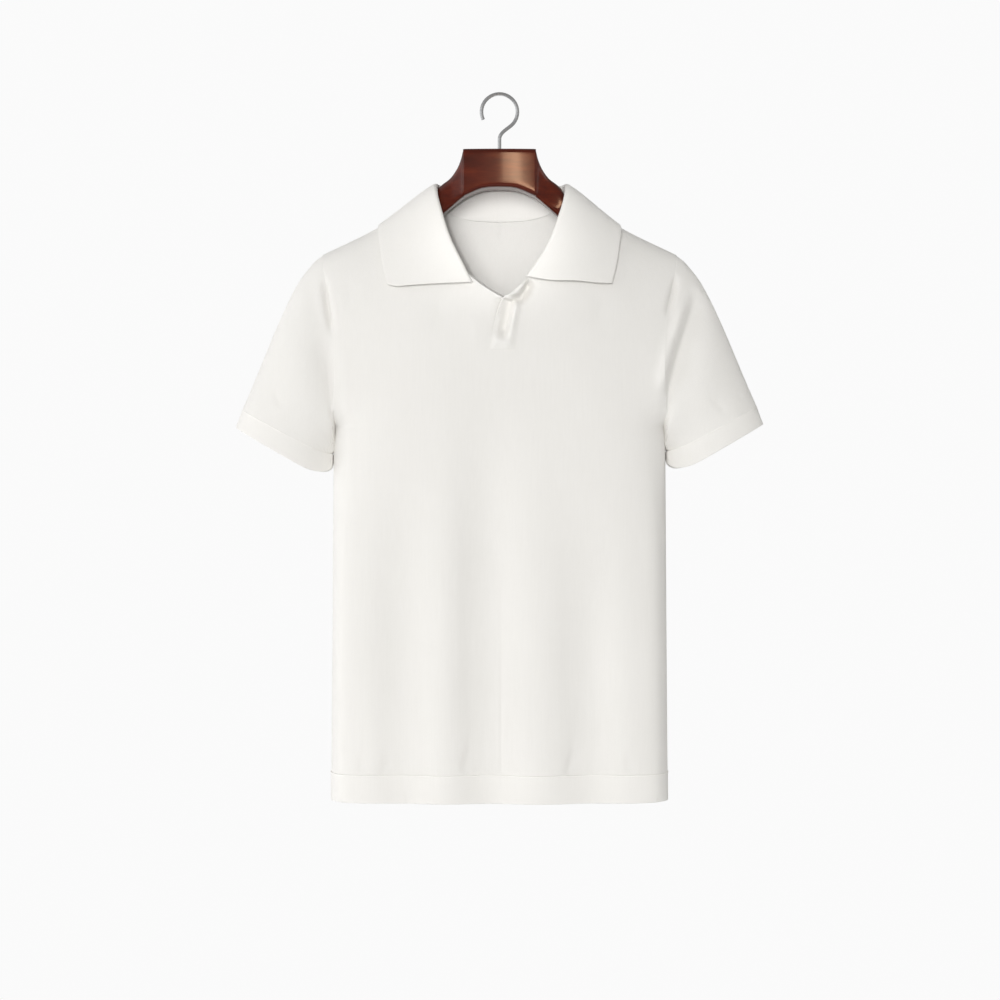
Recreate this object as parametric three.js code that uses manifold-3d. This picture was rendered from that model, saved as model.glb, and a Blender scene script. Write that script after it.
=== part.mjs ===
// A knitted short-sleeved polo shirt, men's size M in a slim cut, hanging on a wide wooden hanger.
// Millimetres. +X is the viewer's right, -Y is towards the viewer and +Z is up. The origin is the
// inner top of the hook, where it lies on a rod. Inside this file a height counts up from the hem's
// lower edge, and the finished group is lowered so that the hook's seat comes to the origin.
//
// The body is one surface with a front and a back side. Each side is a depth that depends on how far
// out from the centre and how high a point is. Panels, seams, collar and placket all read that depth,
// so neighbouring pieces meet along the same seam lines.
import * as THREE from "three";
import Module from "manifold-3d";
import { mergeVertices } from "three/addons/utils/BufferGeometryUtils.js";

// Driving dimensions of the cloth
const KNIT = 1.4; // wall of the single knit
const DOUBLED = 2.4; // wall of a turned, doubled band
const SEAM_GAP = 0.3; // space between two pieces that are sewn together
const HEM_BAND = 32; // height of the band at the bottom
const BAND_PROUD = 0.5; // how far the hem's band stands out from the panel above it
const ARMPIT = 430; // height of the underarm point
const ARMHOLE_TURN = 46; // rise in which the underarm seam turns from the side to the front
const ARMHOLE_DEPTH = 50; // how far before and behind the side line the armhole seam runs
const ARMHOLE_ROUNDNESS = 2.2; // exponent of that turn: 2 is a quarter of a circle, more is squarer
const CUT_OFF_SPREAD = 120; // rise above the underarm in which that seam's depth comes to shape the whole panel
const CUT_OFF_EDGE = 8; // how closely the cut-off keeps to the panel's edge at the underarm
const SIDE_ROUNDNESS = 3.2; // exponent of the section: 2 is an ellipse, more is squarer
const FRONT_SLOPE = 240; // drop from the shoulder line to the fullest part of the chest
const BACK_SLOPE = 200; // the same on the back
const SLIT_FOOT = 527; // height of the lower end of the neck slit
const SLIT_OFFSET = 5; // the slit's upper end lies this far to the right of the centre
const SLIT_LEAN_FOOT = 470; // height at which the slit begins to lean
const SLIT_LEAN_RISE = 100; // rise in which it comes to its full offset
const SLIT_FADE = 33; // half width of the strip in which the columns follow the slit's lean
const NECK_HALF = 81; // from the centre to where the shoulder seam meets the neck

// Grid fineness
const NECK_COLUMNS = 7;
const SHOULDER_COLUMNS = 9;
const LOWER_ROWS = 9;
const UPPER_ROWS = 13;
const SLEEVE_RINGS = 9;

// The shoulder seam seen from the front, out from the centre
const SHOULDER_LINE = [
  { out: 0, height: 728 },
  { out: 40, height: 721 },
  { out: 81, height: 704 },
  { out: 141, height: 665 },
  { out: 206.5, height: 633 },
];
const SHOULDER_POINT = SHOULDER_LINE[SHOULDER_LINE.length - 1];

// Sections of the body, from the hem up
const BODY = [
  { height: 0, halfWidth: 196, front: 60, back: 57 },
  { height: 200, halfWidth: 194.5, front: 61, back: 57 },
  { height: 350, halfWidth: 193.5, front: 63, back: 59 },
  { height: 430, halfWidth: 193, front: 66, back: 62 },
  { height: 560, halfWidth: 193, front: 68, back: 66 },
  { height: 704, halfWidth: 193, front: 66, back: 62 },
];

// The armhole seam's distance from the centre, on the front and on the back
const ARMHOLE = [
  { height: 430, front: 193, back: 193 },
  { height: 470, front: 190, back: 193 },
  { height: 515, front: 189, back: 193 },
  { height: 558, front: 191, back: 195 },
  { height: 602, front: 202, back: 204 },
  { height: 633, front: 206.5, back: 206.5 },
];

// Necklines, out from the centre. The front one starts at the foot of the V
const FRONT_NECK = [
  { out: 0, height: 578 },
  { out: 14, height: 586 },
  { out: 31, height: 600 },
  { out: 46, height: 615 },
  { out: 57, height: 630 },
  { out: 66, height: 649 },
  { out: 73, height: 669 },
  { out: 79, height: 688 },
  { out: 81, height: 704 },
];
const BACK_NECK = [
  { out: 0, height: 676 },
  { out: 32, height: 677 },
  { out: 58, height: 683 },
  { out: 75, height: 693 },
  { out: 81, height: 704 },
];

// Hanging folds: soft troughs that deepen towards the hem
const FRONT_FOLDS = [
  { foot: -112, head: -104, top: 470, depth: 7, halfWidth: 54 },
  { foot: -12, head: -14, top: 540, depth: 8, halfWidth: 56 },
  { foot: 104, head: 98, top: 450, depth: 7, halfWidth: 54 },
];
const BACK_FOLDS = [
  { foot: -96, head: -70, top: 520, depth: 8, halfWidth: 60 },
  { foot: 22, head: 10, top: 470, depth: 7, halfWidth: 56 },
  { foot: 126, head: 96, top: 500, depth: 6, halfWidth: 46 },
];
const FOLD_GROWTH = 300; // drop over which a fold reaches its full depth

// Sleeve outlines, seen from the front: where the cuff seam and the cuff's edge end, outside and at the underarm
const CUFF_SEAM = { outerOut: 300, outerHeight: 456, innerOut: 198, innerHeight: 401, halfDepth: 38 };
const CUFF_EDGE = { outerOut: 307.5, outerHeight: 436, innerOut: 200, innerHeight: 374, halfDepth: 36 };
const UNDERARM_LIFT = 14; // how far the cuff's edge rises where it lies beside the body
const SLEEVES = [
  { name: "right", side: 1, drop: 0, foldDepth: 7 },
  { name: "left", side: -1, drop: 4, foldDepth: 5 },
];

// The collar from its front end round to the middle of the back. The seam follows the neckline. The
// roll is the folded top, given from the seam. The edge is the free edge of the leaf on the body.
const COLLAR = [
  { seamOut: 33, seamHeight: 602, in: 1, forward: 5, up: 0, edgeOut: 127, edgeHeight: 594, bow: 11, side: 1 },
  { seamOut: 46, seamHeight: 615, in: 4, forward: 6, up: 3, edgeOut: 131, edgeHeight: 608, bow: 8, side: 1 },
  { seamOut: 57, seamHeight: 630, in: 5, forward: 6, up: 4, edgeOut: 134, edgeHeight: 622, bow: 5, side: 1 },
  { seamOut: 66, seamHeight: 649, in: 5, forward: 6, up: 5, edgeOut: 136, edgeHeight: 636, bow: 2, side: 1 },
  { seamOut: 73, seamHeight: 669, in: 5, forward: 5, up: 7, edgeOut: 138, edgeHeight: 649, bow: 0, side: 1 },
  { seamOut: 79, seamHeight: 688, in: 5, forward: 4, up: 9, edgeOut: 139, edgeHeight: 659, bow: 0, side: 1 },
  { seamOut: 81, seamHeight: 704, in: 5, forward: 1, up: 11, edgeOut: 137, edgeHeight: 665, bow: 0, side: 1 },
  { seamOut: 75, seamHeight: 693, in: 5, forward: 0, up: 22, edgeOut: 122, edgeHeight: 659, bow: 0, side: -1 },
  { seamOut: 58, seamHeight: 683, in: 4, forward: 1, up: 34, edgeOut: 93, edgeHeight: 649, bow: 0, side: -1 },
  { seamOut: 32, seamHeight: 677, in: 2, forward: 2, up: 41, edgeOut: 50, edgeHeight: 644, bow: 0, side: -1 },
  { seamOut: 0, seamHeight: 676, in: 0, forward: 2, up: 43, edgeOut: 0, edgeHeight: 642, bow: 0, side: -1 },
];
const COLLAR_WALL = 1.6;
const COLLAR_ROLL = 2.6; // outer radius of the folded top
const COLLAR_CLEAR = 3.4; // outside of the leaf above the body's outside
const COLLAR_LEAN = 2; // the folded top lies this far over to the right
const COLLAR_LEAN_RISE = 8; // rise above the seam in which the lean comes in
const STATIONS_BETWEEN = 2; // finer stations from one table row to the next
const LEAF_CELLS = 6;

// The placket strip, seen from the front, from its foot to the V
const PLACKET = [
  { left: -11, leftHeight: 519, right: 17, rightHeight: 520 },
  { left: -8.5, leftHeight: 535, right: 20, rightHeight: 536 },
  { left: -5, leftHeight: 551, right: 22, rightHeight: 552 },
  { left: -1, leftHeight: 566, right: 25, rightHeight: 570 },
  { left: 2.5, leftHeight: 575, right: 28, rightHeight: 584 },
  { left: 7, leftHeight: 580, right: 30, rightHeight: 596 },
];
const PLACKET_COLUMNS = 6;
const PLACKET_LIFT = 4; // how far the strip's free upper edge stands off
const PLACKET_CLEAR = 2.2; // outside of the strip above the panel's outside

// The hanger, out from the centre: top and bottom heights, how far it reaches before and behind, and
// the exponent of its section (2 is an ellipse, more is squarer)
const HANGER = [
  { out: 0, top: 755, bottom: 710, front: 23, behind: 14, square: 3.4 },
  { out: 20, top: 755, bottom: 708.5, front: 22.5, behind: 14, square: 3.4 },
  { out: 39.5, top: 755, bottom: 700, front: 21, behind: 14, square: 3.4 },
  { out: 42, top: 753, bottom: 698.5, front: 20.4, behind: 13.8, square: 3.3 },
  { out: 44.5, top: 744, bottom: 697, front: 18.6, behind: 13.5, square: 3.1 },
  { out: 49, top: 733, bottom: 693.5, front: 16.4, behind: 13, square: 3 },
  { out: 57, top: 722, bottom: 687, front: 13, behind: 12.5, square: 2.8 },
  { out: 66, top: 715.4, bottom: 679.5, front: 11, behind: 12, square: 2.5 },
  { out: 72, top: 710, bottom: 674, front: 10.5, behind: 12, square: 2.3 },
  { out: 78, top: 700.7, bottom: 669, front: 10.5, behind: 12, square: 2.3 },
  { out: 95, top: 689.5, bottom: 656, front: 11.5, behind: 13, square: 2.2 },
  { out: 120, top: 674, bottom: 640, front: 14, behind: 15, square: 2.2 },
  { out: 150, top: 655.8, bottom: 624, front: 16, behind: 17, square: 2.2 },
  { out: 180, top: 640.6, bottom: 610, front: 16, behind: 17, square: 2.2 },
  { out: 195, top: 631.8, bottom: 605, front: 14, behind: 15, square: 2.2 },
  { out: 201, top: 622, bottom: 609, front: 8, behind: 9, square: 2 },
];
const HANGER_CORNERS = 12; // points round one section of the wood

// The hook: a wire bent to a question mark, screwed into the wood's top
const WIRE = 4.2;
const HOOK_RADIUS = 21; // to the wire's middle
const HOOK_CENTRE = 800; // height of the middle of the round part
const HOOK_SCREW = 24; // depth of the wire in the wood
const HOOK_SEAT = HOOK_CENTRE + HOOK_RADIUS - WIRE / 2;
const BORE_PLAY = 0.3;
const HOOK_END = 205; // degrees round the hook, from its lowest right to the tip on the left

const vec = (x, y, z) => new THREE.Vector3(x, y, z);
const mix = THREE.MathUtils.lerp;
const clamp = THREE.MathUtils.clamp;
const smooth = (x) => THREE.MathUtils.smoothstep(x, 0, 1);

// One column of a table at a place along another column, as a smooth curve through the rows.
function along(table, key, column, at) {
  const last = table.length - 1;
  if (at <= table[0][key]) return table[0][column];
  if (at >= table[last][key]) return table[last][column];
  const i = table.findIndex((row) => row[key] > at) - 1;
  const slope = (k) => {
    const before = table[Math.max(k - 1, 0)];
    const after = table[Math.min(k + 1, last)];
    return (after[column] - before[column]) / (after[key] - before[key]);
  };
  const step = table[i + 1][key] - table[i][key];
  const t = (at - table[i][key]) / step;
  const rise = 3 * t * t - 2 * t * t * t;
  return (
    mix(table[i][column], table[i + 1][column], rise) +
    step * (t * (1 - t) ** 2 * slope(i) - t * t * (1 - t) * slope(i + 1))
  );
}

// The body's surface. side is 1 for the front and -1 for the back.
const sideName = (side) => (side > 0 ? "front" : "back");
const halfWidthAt = (side, height) =>
  height < ARMPIT ? along(BODY, "height", "halfWidth", height) : along(ARMHOLE, "height", sideName(side), height);

function armholeDepth(height) {
  const t = clamp((height - ARMPIT) / ARMHOLE_TURN, 0, 1);
  return ARMHOLE_DEPTH * (1 - (1 - t) ** ARMHOLE_ROUNDNESS) ** (1 / ARMHOLE_ROUNDNESS);
}

function foldDepth(side, x, height) {
  const folds = side > 0 ? FRONT_FOLDS : BACK_FOLDS;
  return folds.reduce((sum, fold) => {
    const middle = mix(fold.foot, fold.head, clamp(height / fold.top, 0, 1));
    const across = clamp((x - middle) / fold.halfWidth, -1, 1);
    const grown = smooth(clamp((fold.top - height) / FOLD_GROWTH, 0, 1));
    return sum + (fold.depth * grown * (1 + Math.cos(Math.PI * across))) / 2;
  }, 0);
}

// Across, a section is a quarter of a squarish ellipse. Above the underarm it is cut off where it
// reaches the armhole's depth, so the panel ends there without a bend.
function bodyPoint(side, x, height) {
  const out = Math.abs(x);
  const n = SIDE_ROUNDNESS;
  const middle = along(BODY, "height", sideName(side), height);
  const reach = (1 - (armholeDepth(height) / middle) ** n) ** (1 / n);
  const share = Math.min(1, out / halfWidthAt(side, height));
  const spread = CUT_OFF_EDGE * (1 - clamp((height - ARMPIT) / CUT_OFF_SPREAD, 0, 1));
  const round = share * (1 - (1 - reach) * share ** spread);
  const section = (1 - round ** n) ** (1 / n);
  const drop = along(SHOULDER_LINE, "out", "height", out) - height;
  const slope = side > 0 ? FRONT_SLOPE : BACK_SLOPE;
  const fall = Math.sqrt(1 - (1 - clamp(drop / slope, 0, 1)) ** 2);
  const depth = (middle - foldDepth(side, x, height)) * section * fall;
  return vec(x, -side * depth, height);
}

// The body's outward direction, from two short steps on its surface.
function bodyNormal(side, x, height) {
  const step = 1.5;
  const across = bodyPoint(side, x + step, height).sub(bodyPoint(side, x - step, height));
  const upward = bodyPoint(side, x, height).sub(bodyPoint(side, x, height - 2 * step));
  return across.cross(upward).multiplyScalar(side).normalize();
}

// Points at even distances along a curve, ends included.
function evenly(curve, cells) {
  const fine = 160;
  const line = Array.from({ length: fine + 1 }, (_, i) => curve(i / fine));
  const length = [0];
  for (let i = 1; i <= fine; i += 1) length.push(length[i - 1] + line[i].distanceTo(line[i - 1]));
  return Array.from({ length: cells + 1 }, (_, n) => {
    const target = (length[fine] * n) / cells;
    const i = clamp(length.findIndex((l) => l >= target - 1e-9), 1, fine);
    const share = (target - length[i - 1]) / (length[i] - length[i - 1]);
    return line[i - 1].clone().lerp(line[i], clamp(share, 0, 1));
  });
}

// Heights of the upper rows at the armhole seam: close together at the underarm and at the shoulder.
const seamShare = (row) => smooth(row / UPPER_ROWS);
const armholeHeight = (row) => mix(ARMPIT, SHOULDER_POINT.height, seamShare(row));
const slitAt = (height) => SLIT_OFFSET * smooth(clamp((height - SLIT_LEAN_FOOT) / SLIT_LEAN_RISE, 0, 1));

// Half a panel: rows of points from the centre out to the side seam and the armhole.
function halfPanel(side, hand, neckline, columns) {
  const all = columns.neck + columns.shoulder;
  const topHeight = (out) => along(out < NECK_HALF ? neckline : SHOULDER_LINE, "out", "height", out);
  const rowCurve = (row) => {
    const lower = row <= LOWER_ROWS;
    const share = lower ? 0 : seamShare(row - LOWER_ROWS);
    const level = lower ? mix(HEM_BAND, ARMPIT, row / LOWER_ROWS) : armholeHeight(row - LOWER_ROWS);
    const edge = halfWidthAt(side, level);
    const point = (out) => {
      const height = lower ? level : mix(ARMPIT, topHeight(out * SHOULDER_POINT.out), share);
      const centre = side > 0 ? slitAt(height) * Math.max(0, 1 - (out * edge) / SLIT_FADE) : 0;
      return bodyPoint(side, centre + hand * out * edge, height);
    };
    return { share, point };
  };
  const neckShare = NECK_HALF / SHOULDER_POINT.out;
  return Array.from({ length: LOWER_ROWS + UPPER_ROWS + 1 }, (_, row) => {
    const { share, point } = rowCurve(row);
    const whole = (q) => point(1 - (1 - q) ** SIDE_ROUNDNESS);
    const plain = evenly(whole, all);
    const plainShare = Math.abs(plain[columns.neck].x) / halfWidthAt(side, plain[all].z);
    const turn = mix(plainShare, neckShare, smooth(share));
    const inner = evenly((q) => point(q * turn), columns.neck);
    const outer = evenly((q) => point(1 - (1 - turn) * (1 - q) ** SIDE_ROUNDNESS), columns.shoulder);
    return [...inner, ...outer.slice(1)];
  });
}

// Whether a point of a seam ring lies on the front or back part of the armhole.
const isArmhole = (point) => Math.abs(point.y) > 1 && point.z > ARMPIT;

// Moves the end points of a row towards their neighbours, to leave room for a seam.
const towards = (from, to, distance) => from.clone().add(to.clone().sub(from).setLength(distance));

// A surface of shared points and four-sided cells that face outwards.
class Surface {
  constructor() {
    this.points = [];
    this.cells = [];
    this.armholeEdge = new Set();
  }
  add(point) {
    this.points.push(point);
    return this.points.length - 1;
  }
  // rows of point numbers; closed joins the last column to the first
  weave(rows, closed = false) {
    for (let j = 0; j + 1 < rows.length; j += 1) {
      const width = rows[j].length;
      for (let i = 0; i < (closed ? width : width - 1); i += 1) {
        const next = (i + 1) % width;
        this.cells.push([rows[j][i], rows[j][next], rows[j + 1][next], rows[j + 1][i]]);
      }
    }
    return this;
  }
  normals() {
    const sums = this.points.map(() => vec(0, 0, 0));
    for (const cell of this.cells) {
      const [a, b, c, d] = cell.map((i) => this.points[i]);
      const facing = c.clone().sub(a).cross(d.clone().sub(b));
      cell.forEach((i) => sums[i].add(facing));
    }
    return sums.map((n) => n.normalize());
  }
}

// The direction in which a wall gets its thickness. Two pieces that share a seam use one direction
// there, so that their walls meet squarely: level across the side and shoulder seams, which lie in
// the middle plane, and upright beside the body along an armhole.
function wallNormal(surface, i, normal) {
  if (surface.armholeEdge.has(i)) return vec(0, normal.y, normal.z).normalize();
  if (Math.abs(surface.points[i].y) < 1) return vec(normal.x, 0, normal.z).normalize();
  return normal;
}

// Turns a surface into a closed wall of cloth that keeps the surface as its outside.
function wall(surface, thickness) {
  const normals = surface.normals();
  const count = surface.points.length;
  const inner = surface.points.map((p, i) =>
    p.clone().addScaledVector(wallNormal(surface, i, normals[i]), -thickness),
  );
  const positions = [...surface.points, ...inner].flatMap((p) => [p.x, p.y, p.z]);
  const triangles = [];
  const quad = (a, b, c, d) => triangles.push(a, b, c, a, c, d);
  const span = (i, k) => surface.points[i].distanceTo(surface.points[k]);
  const borders = new Map();
  for (const [a, b, c, d] of surface.cells) {
    // Split along the shorter diagonal, on both faces of the wall
    const corners = span(a, c) <= span(b, d) ? [a, b, c, d] : [b, c, d, a];
    quad(...corners);
    quad(...corners.map((i) => i + count).reverse());
    for (const [from, to] of [[a, b], [b, c], [c, d], [d, a]]) {
      if (!borders.delete(`${to} ${from}`)) borders.set(`${from} ${to}`, [from, to]);
    }
  }
  for (const [from, to] of borders.values()) quad(to, from, from + count, to + count);
  const geometry = new THREE.BufferGeometry();
  geometry.setAttribute("position", new THREE.Float32BufferAttribute(positions, 3));
  geometry.setIndex(triangles);
  return geometry;
}

// A body panel. The front has the neck slit, whose two edges stay apart above its foot.
function bodyPanel(side, neckline, columns) {
  const right = halfPanel(side, 1, neckline, columns);
  const left = halfPanel(side, -1, neckline, columns);
  const last = right.length - 1;
  for (const half of [left, right]) {
    half.forEach((row) => row.splice(-1, 1, towards(row.at(-1), row.at(-2), SEAM_GAP / 2)));
    half[last] = half[last].map((p, i) => towards(p, half[last - 1][i], SEAM_GAP / 2));
    half[0] = half[0].map((p, i) => towards(p, half[1][i], SEAM_GAP / 2));
  }
  const surface = new Surface();
  const isSlit = (row) => side > 0 && row[0].z > SLIT_FOOT + 6;
  const leftRows = [];
  const rightRows = [];
  right.forEach((row, j) => {
    const centre = surface.add(isSlit(row) ? row[0].clone().setX(row[0].x + SEAM_GAP) : row[0]);
    const leftCentre = isSlit(row) ? surface.add(row[0].clone().setX(row[0].x - SEAM_GAP)) : centre;
    rightRows.push([centre, ...row.slice(1).map((p) => surface.add(p))]);
    leftRows.push([leftCentre, ...left[j].slice(1).map((p) => surface.add(p))].reverse());
    const edges = [rightRows[j].at(-1), leftRows[j][0]];
    edges.filter((i) => isArmhole(surface.points[i])).forEach((i) => surface.armholeEdge.add(i));
  });
  if (side < 0) [leftRows, rightRows].forEach((rows) => rows.forEach((row) => row.reverse()));
  surface.weave(leftRows);
  surface.weave(rightRows);
  return surface;
}

// The doubled band below a panel, a little proud of it.
function hemBand(side, columns) {
  const levels = [0, HEM_BAND / 2, HEM_BAND - SEAM_GAP / 2];
  const rows = levels.map((level) => {
    const half = (hand) => {
      const curve = (q) => {
        const x = hand * (1 - (1 - q) ** SIDE_ROUNDNESS) * halfWidthAt(side, level);
        const p = bodyPoint(side, x, level);
        return vec(p.x + (BAND_PROUD * p.x) / SHOULDER_POINT.out, p.y - side * BAND_PROUD, p.z);
      };
      const line = evenly(curve, columns.neck + columns.shoulder);
      line.splice(-1, 1, vec(line.at(-1).x, (-side * SEAM_GAP) / 2, level));
      return line;
    };
    return [...half(-1).reverse(), ...half(1).slice(1)];
  });
  const surface = new Surface();
  const numbers = rows.map((row) => (side > 0 ? row : row.reverse()).map((p) => surface.add(p)));
  return surface.weave(numbers);
}

// The armhole seam as a closed ring: down the front from the shoulder point, then up the back.
function armholeRing() {
  const seam = (side, row) => {
    const height = armholeHeight(row);
    return bodyPoint(side, halfWidthAt(side, height), height);
  };
  const front = Array.from({ length: UPPER_ROWS + 1 }, (_, k) => seam(1, UPPER_ROWS - k));
  const back = Array.from({ length: UPPER_ROWS - 1 }, (_, k) => seam(-1, k + 1));
  return [...front, ...back];
}

// For each point of the armhole ring, its angle round the sleeve: 0 at the top, a half turn at the underarm.
function ringAngles(ring) {
  const length = [0];
  ring.forEach((p, k) => length.push(length[k] + p.distanceTo(ring[(k + 1) % ring.length])));
  const front = length[UPPER_ROWS];
  const back = length.at(-1) - front;
  return ring.map((_, k) =>
    k <= UPPER_ROWS ? (Math.PI * length[k]) / front : Math.PI * (1 + (length[k] - front) / back),
  );
}

// A ring at the sleeve's end, as wide and deep as its row of sizes says.
function cuffPoint(size, angle, drop) {
  const outer = vec(size.outerOut, 0, size.outerHeight - drop);
  const inner = vec(size.innerOut, 0, size.innerHeight - drop);
  const middle = outer.clone().add(inner).multiplyScalar(0.5);
  const half = outer.clone().sub(inner).multiplyScalar(0.5);
  return middle.addScaledVector(half, Math.cos(angle)).setY(-size.halfDepth * Math.sin(angle));
}

// The sleeve between the armhole and the cuff seam, as rings of points for the right-hand side.
function sleeveRings(drop, foldDepthHere) {
  const armhole = armholeRing();
  const angles = ringAngles(armhole);
  const shoulderWay = vec(0.93, 0, -0.37);
  const underarmWay = vec(0.25, 0, -0.97);
  const cuffWay = vec(0.42, 0, -0.91);
  const path = (k) => {
    const from = armhole[k];
    const to = cuffPoint(CUFF_SEAM, angles[k], drop);
    const length = from.distanceTo(to);
    const low = (1 - Math.cos(angles[k])) / 2;
    const start = shoulderWay.clone().lerp(underarmWay, low ** 1.6).multiplyScalar(length * mix(0.52, 0.42, low));
    const end = cuffWay.clone().multiplyScalar(length * mix(1.05, 0.6, low));
    const out = Math.sin(angles[k]);
    return (s) => {
      const point = from.clone().multiplyScalar(2 * s ** 3 - 3 * s ** 2 + 1);
      point.addScaledVector(start, s ** 3 - 2 * s ** 2 + s);
      point.addScaledVector(to, 3 * s ** 2 - 2 * s ** 3);
      point.addScaledVector(end, s ** 3 - s ** 2);
      // The fold that hangs from the shoulder to the underarm, just outside the armhole seam
      const fold = Math.exp(-(((s - 0.2) / 0.11) ** 2)) * smooth(clamp(Math.abs(out) * 1.4, 0, 1));
      const swell = Math.sin(Math.PI * smooth(s)) * 5 * out;
      point.y += out * fold * (out > 0 ? foldDepthHere : foldDepthHere * 0.6) - swell;
      return point;
    };
  };
  const paths = armhole.map((_, k) => path(k));
  return Array.from({ length: SLEEVE_RINGS + 1 }, (_, n) => {
    const s = n / SLEEVE_RINGS;
    return paths.map((p) => p(s));
  });
}

// A tube of rings, from the inner end outwards, for one hand.
function tube(rings, side) {
  const surface = new Surface();
  const numbers = rings.map((ring) => ring.map((p) => surface.add(vec(side * p.x, p.y, p.z))));
  numbers[0].filter((i) => isArmhole(surface.points[i])).forEach((i) => surface.armholeEdge.add(i));
  return surface.weave(side > 0 ? numbers : numbers.reverse(), true);
}

function sleeveSurface({ side, drop, foldDepth: depth }) {
  const rings = sleeveRings(drop, depth);
  rings[0] = rings[0].map((p) => p.add(vec(SEAM_GAP, 0, isArmhole(p) ? 0 : -SEAM_GAP)));
  rings[SLEEVE_RINGS] = rings[SLEEVE_RINGS].map((p, k) => towards(p, rings[SLEEVE_RINGS - 1][k], SEAM_GAP / 2));
  return tube(rings, side);
}

function cuffSurface({ side, drop }) {
  const angles = ringAngles(armholeRing());
  const rings = [0, 0.5, 1].map((share) =>
    angles.map((angle) => {
      const seam = cuffPoint(CUFF_SEAM, angle, drop);
      const edge = cuffPoint(CUFF_EDGE, angle, drop);
      const lift = UNDERARM_LIFT * Math.max(0, -Math.cos(angle)) ** 6;
      edge.add(vec(-0.15 * lift, 0, lift));
      return seam.lerp(edge, share);
    }),
  );
  rings[0] = rings[0].map((p, k) => towards(p, rings[1][k], SEAM_GAP / 2));
  return tube(rings, side);
}

// One station of the collar: points from the seam up the stand, over the roll and down the leaf.
function collarStation(at, hand) {
  const read = (column) => along(COLLAR_ROWS, "station", column, at);
  const x = hand * read("seamOut");
  const onFront = at <= COLLAR_SIDE;
  const seamSide = onFront ? 1 : -1;
  const seam = bodyPoint(seamSide, x, read("seamHeight"));
  const lean = COLLAR_LEAN * clamp(read("up") / COLLAR_LEAN_RISE, 0, 1);
  const roll = seam.clone().add(vec(lean - hand * read("in"), -read("forward"), read("up")));
  const footTurn = surfaceTurn(seamSide, x, read("seamHeight"));
  const edgeTurn = read("edgeTurn");
  const edgeX = hand * read("edgeOut");
  const bow = read("bow");
  const leafFoot = (t) => turnedPoint(mix(x, edgeX, t), mix(footTurn, edgeTurn, t), 4 * bow * t * (1 - t));
  const leaf = (t) => {
    const foot = leafFoot(t);
    const start = leafFoot(0);
    const rise = roll.clone().sub(start.point).addScaledVector(start.normal, -COLLAR_CLEAR);
    return foot.point.clone().addScaledVector(foot.normal, COLLAR_CLEAR).addScaledVector(rise, 1 - t);
  };
  const standWay = roll.clone().sub(seam).normalize();
  const leafWay = leaf(0).sub(leaf(0.15)).normalize();
  const tip = standWay.clone().add(leafWay).normalize();
  const normal = leafFoot(0).normal;
  const over = normal.clone().addScaledVector(tip, -normal.dot(tip)).normalize();
  const r = COLLAR_ROLL;
  const points = [seam.clone().addScaledVector(over, -r * 0.8).addScaledVector(standWay, 2 * SEAM_GAP)];
  points.push(seam.clone().lerp(roll, 0.55).addScaledVector(over, -r * 0.8));
  for (let k = 0; k <= 4; k += 1) {
    const angle = (Math.PI * k) / 4;
    const centre = roll.clone().addScaledVector(tip, -r);
    points.push(centre.addScaledVector(over, -r * Math.cos(angle)).addScaledVector(tip, r * Math.sin(angle)));
  }
  for (let k = 1; k <= LEAF_CELLS; k += 1) {
    const t = k / LEAF_CELLS;
    points.push(leaf(t).addScaledVector(over, r * (1 - t) ** 2));
  }
  return points;
}

// Near the shoulder line a height says little, so places there are an angle from the ridge instead:
// positive down the front, negative down the back.
function surfaceTurn(side, x, height) {
  const drop = along(SHOULDER_LINE, "out", "height", Math.abs(x)) - height;
  return side * Math.acos(1 - clamp(drop / (side > 0 ? FRONT_SLOPE : BACK_SLOPE), 0, 1));
}
function turnedPoint(x, turn, lower = 0) {
  const side = turn >= 0 ? 1 : -1;
  const slope = side > 0 ? FRONT_SLOPE : BACK_SLOPE;
  const height = along(SHOULDER_LINE, "out", "height", Math.abs(x)) - slope * (1 - Math.cos(turn)) - lower;
  return { point: bodyPoint(side, x, height), normal: bodyNormal(side, x, height) };
}
const COLLAR_SIDE = COLLAR.findIndex((row) => row.seamOut === NECK_HALF);
const COLLAR_ROWS = COLLAR.map((row, station) => ({
  ...row,
  station,
  edgeTurn: surfaceTurn(row.side, row.edgeOut, row.edgeHeight),
}));

function collarSurface() {
  const count = (COLLAR.length - 1) * STATIONS_BETWEEN;
  const half = (hand) => Array.from({ length: count + 1 }, (_, k) => collarStation(k / STATIONS_BETWEEN, hand));
  const stations = [...half(-1), ...half(1).reverse().slice(1)];
  const surface = new Surface();
  return surface.weave(stations.map((points) => points.map((p) => surface.add(p))));
}

// The placket strip lies on the front panel. Its free upper edge curls off towards the viewer.
function placketSurface() {
  const rows = PLACKET.map(({ left, leftHeight, right, rightHeight }, j) => {
    const rise = j / (PLACKET.length - 1);
    return Array.from({ length: PLACKET_COLUMNS + 1 }, (_, i) => {
      const share = i / PLACKET_COLUMNS;
      const sag = -5 * Math.sin(Math.PI * share) * rise ** 6;
      const x = mix(left, right, share);
      const height = mix(leftHeight, rightHeight, share) + sag;
      const curl = PLACKET_LIFT * rise ** 5 * (1 - 0.3 * share);
      const ridge = 0.8 * Math.exp(-(((share - 0.66) / 0.14) ** 2));
      const p = bodyPoint(1, x, height);
      return p.addScaledVector(bodyNormal(1, x, height), PLACKET_CLEAR + curl + ridge);
    });
  });
  const surface = new Surface();
  return surface.weave(rows.map((row) => row.map((p) => surface.add(p))));
}

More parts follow.
